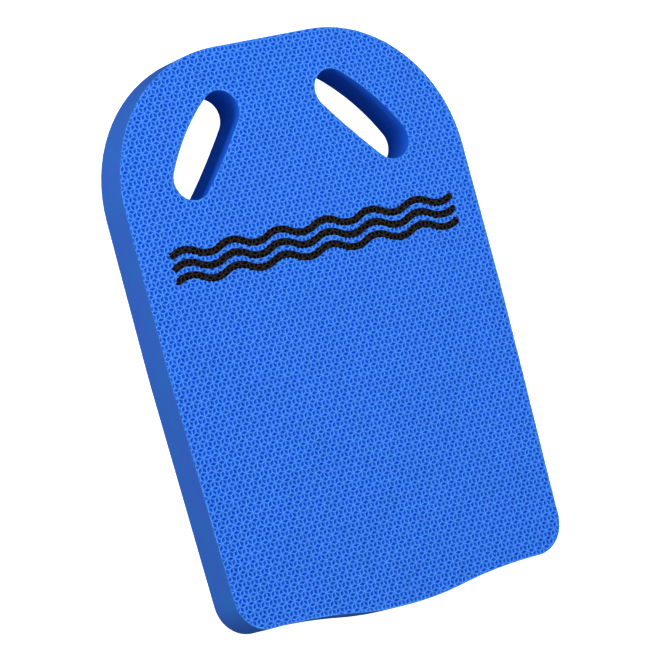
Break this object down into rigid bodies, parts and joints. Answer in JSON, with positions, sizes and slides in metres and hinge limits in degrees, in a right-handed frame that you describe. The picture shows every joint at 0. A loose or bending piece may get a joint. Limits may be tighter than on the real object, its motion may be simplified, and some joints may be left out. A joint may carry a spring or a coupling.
{
  "type": "kickboard float",
  "caption": "Flat rectangular foam swimming kickboard with a rounded nose, two slanted hand slots, leaf-embossed faces and a wavy printed mark.",
  "frame": {"origin": "middle of the back face, which is the face that the board lies on", "axes": "+Y along the board's length towards the nose and the hand slots, +Z out of the printed front face, +X to the right when the front face is seen with the nose at the top"},
  "size_m": [0.3, 0.432, 0.0302],
  "materials": {
    "embossed_foam": "matte closed-cell EVA foam with a pressed leaf pattern",
    "core_foam": "matte cut EVA foam",
    "print_ink": "matte screen ink"
  },
  "bodies": {
    "root": {"back_skin": "embossed_foam", "foam_core": "core_foam", "front_skin": "embossed_foam", "print_wave_lower": "print_ink", "print_wave_middle": "print_ink", "print_wave_upper": "print_ink"}
  },
  "joints": []
}
